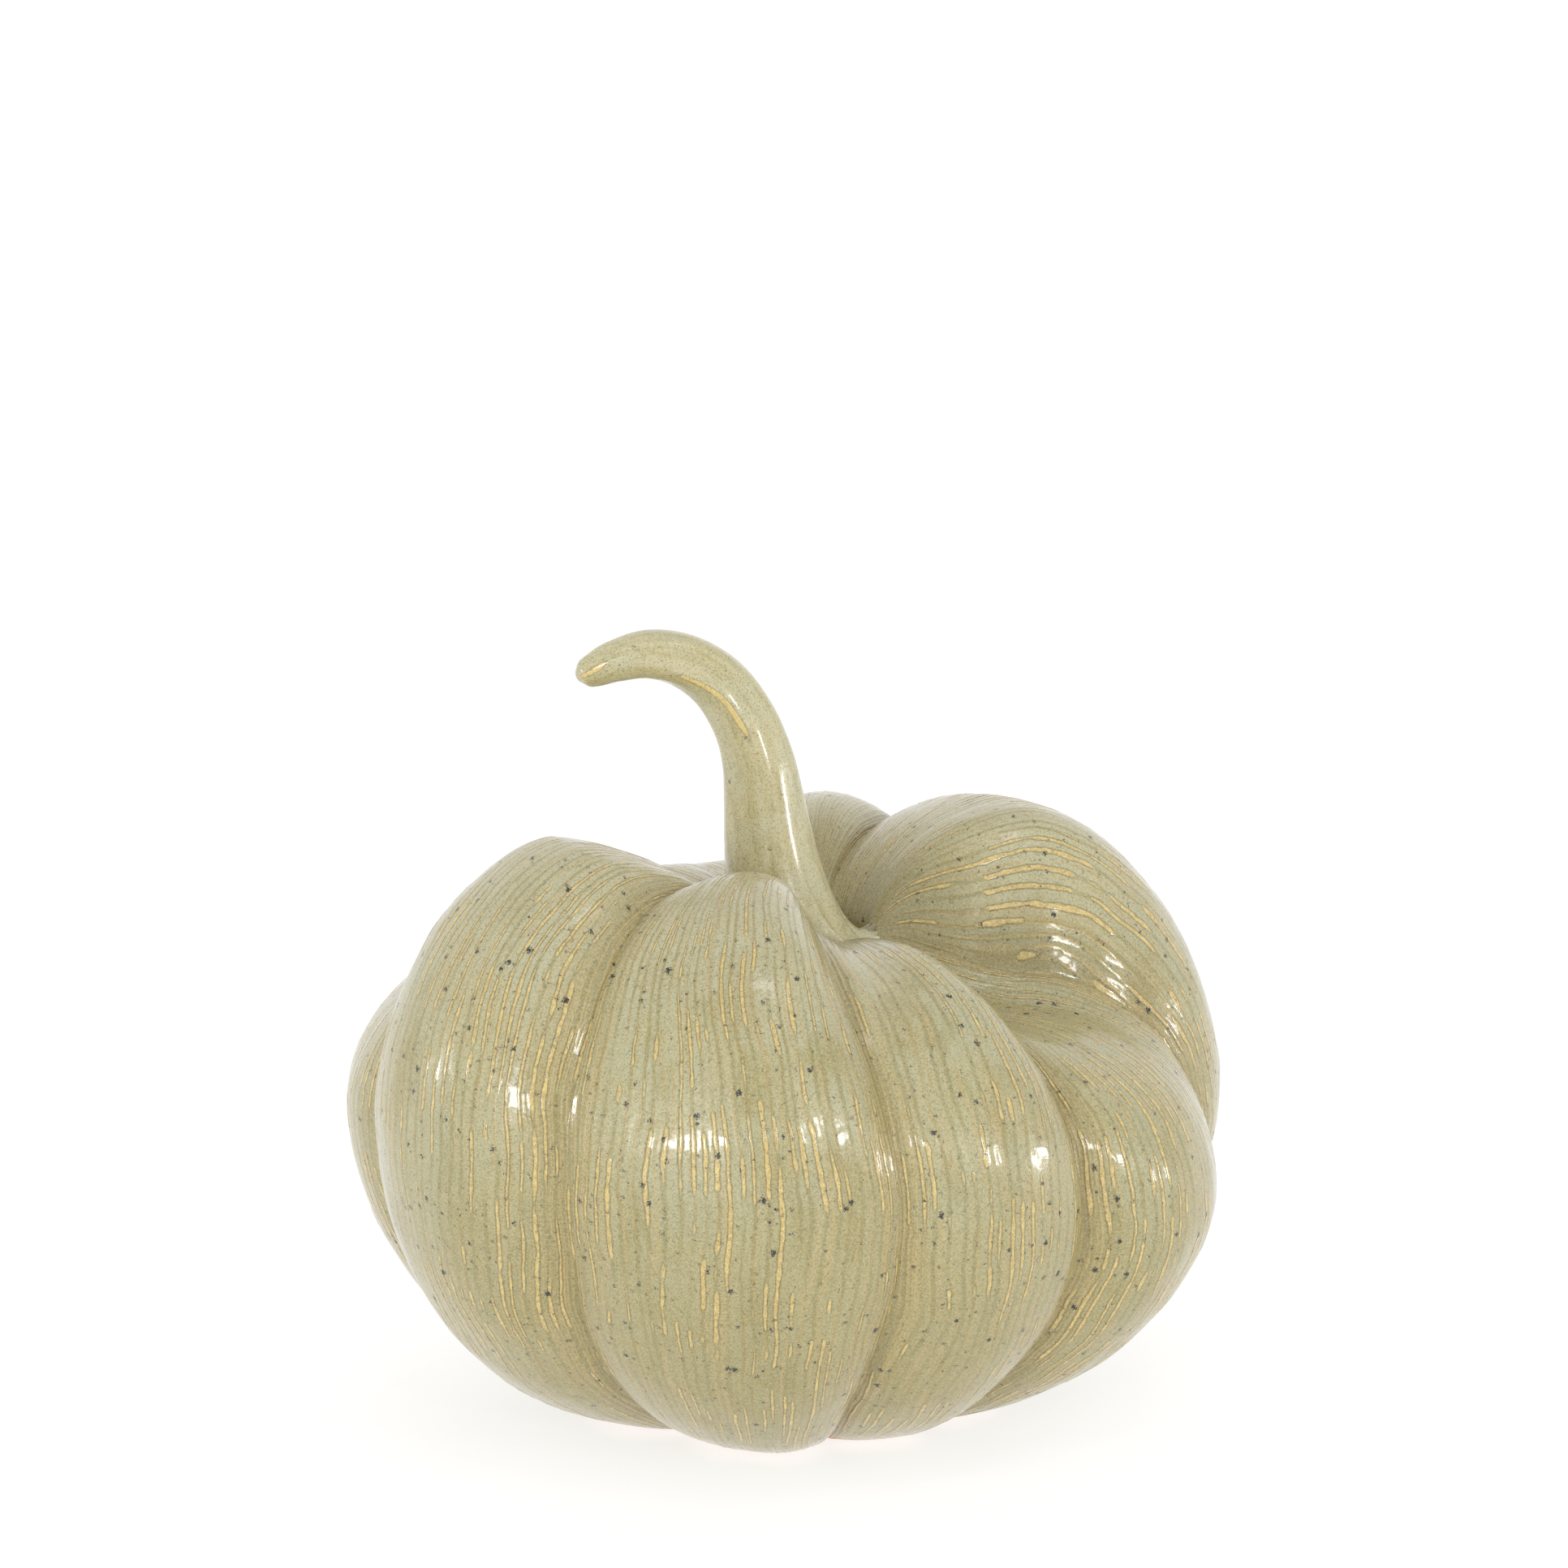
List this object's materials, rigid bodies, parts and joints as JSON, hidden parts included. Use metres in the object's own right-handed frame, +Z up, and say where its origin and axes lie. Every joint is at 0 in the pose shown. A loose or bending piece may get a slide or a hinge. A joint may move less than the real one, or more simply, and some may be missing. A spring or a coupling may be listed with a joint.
{
  "type": "ceramic pumpkin figure",
  "caption": "Hollow lobed pumpkin ornament in speckled, combed sage stoneware glaze, with a tall curved stem and a bare flat foot.",
  "frame": {"origin": "on the floor, under the middle of the shell's outline", "axes": "+Z up; front towards -Y; +X to the right of a viewer in front; the stem curls towards -X"},
  "size_m": [0.1916, 0.1802, 0.1704],
  "materials": {
    "glazed_shell": "glossy sage-beige glaze breaking to buff along combed ridges, iron specks; bare clay foot",
    "glazed_stem": "glossy sage-beige glaze breaking to buff along its ridges, iron specks"
  },
  "bodies": {
    "root": {"shell": "glazed_shell", "stem": "glazed_stem"}
  },
  "joints": []
}
